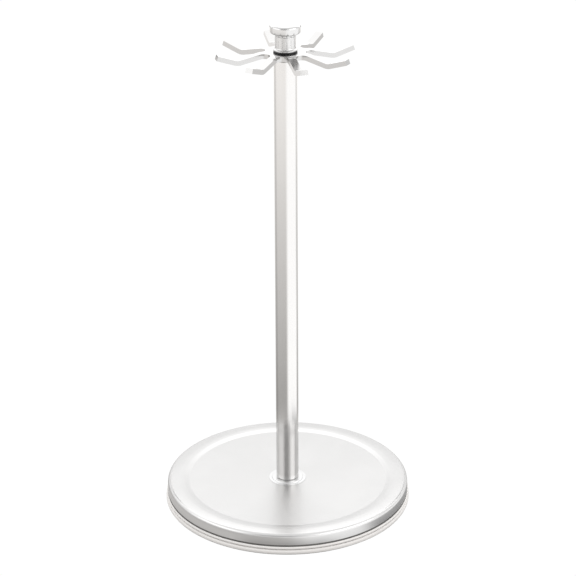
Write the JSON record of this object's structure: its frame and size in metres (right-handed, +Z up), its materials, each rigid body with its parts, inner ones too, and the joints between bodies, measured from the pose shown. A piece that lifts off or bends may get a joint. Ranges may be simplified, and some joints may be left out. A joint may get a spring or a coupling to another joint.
{
  "type": "rotating utensil stand",
  "caption": "Free-standing steel stand: a weighted round base, a tall pole, and a star of bent hooks near the top that turns under a knob.",
  "frame": {"origin": "on the table, under the middle of the pole", "axes": "+Z up along the pole, through the knob; +X to the right of someone standing at -Y"},
  "size_m": [0.198, 0.198, 0.4],
  "materials": {
    "satin_steel": "satin stainless sheet, circularly brushed",
    "brushed_steel": "stainless tube, brushed along its length",
    "polished_steel": "polished stainless steel",
    "zinc_steel": "zinc-plated steel fasteners",
    "cast_iron": "grey iron ballast, as cast",
    "pale_plastic": "moulded off-white plastic",
    "black_plastic": "black acetal washers",
    "rubber": "black rubber"
  },
  "bodies": {
    "stand": {"base_dish": "satin_steel", "ballast_disc": "cast_iron", "bottom_cover": "pale_plastic", "foot_pad_1": "rubber", "foot_pad_2": "rubber", "foot_pad_3": "rubber", "foot_pad_4": "rubber", "cover_screw_1": "zinc_steel", "cover_screw_2": "zinc_steel", "cover_screw_3": "zinc_steel", "pole_bolt": "zinc_steel", "bolt_spring_washer": "zinc_steel", "bolt_flat_washer": "zinc_steel", "pole_collar": "polished_steel", "pole_tube": "brushed_steel", "bottom_plug": "zinc_steel", "top_plug": "brushed_steel", "spindle_stud": "zinc_steel", "spindle_bush": "polished_steel", "lower_washer": "black_plastic", "upper_washer": "black_plastic", "neck_sleeve": "brushed_steel", "retaining_nut": "zinc_steel", "knob_cap": "polished_steel"},
    "star": {"hook_star": "polished_steel"}
  },
  "joints": [
    {"name": "star_turn", "type": "hinge", "parent": "stand", "child": "star", "pos_m": [0, 0, 0.37615], "axis": [0, 0, 1], "continuous": true}
  ]
}
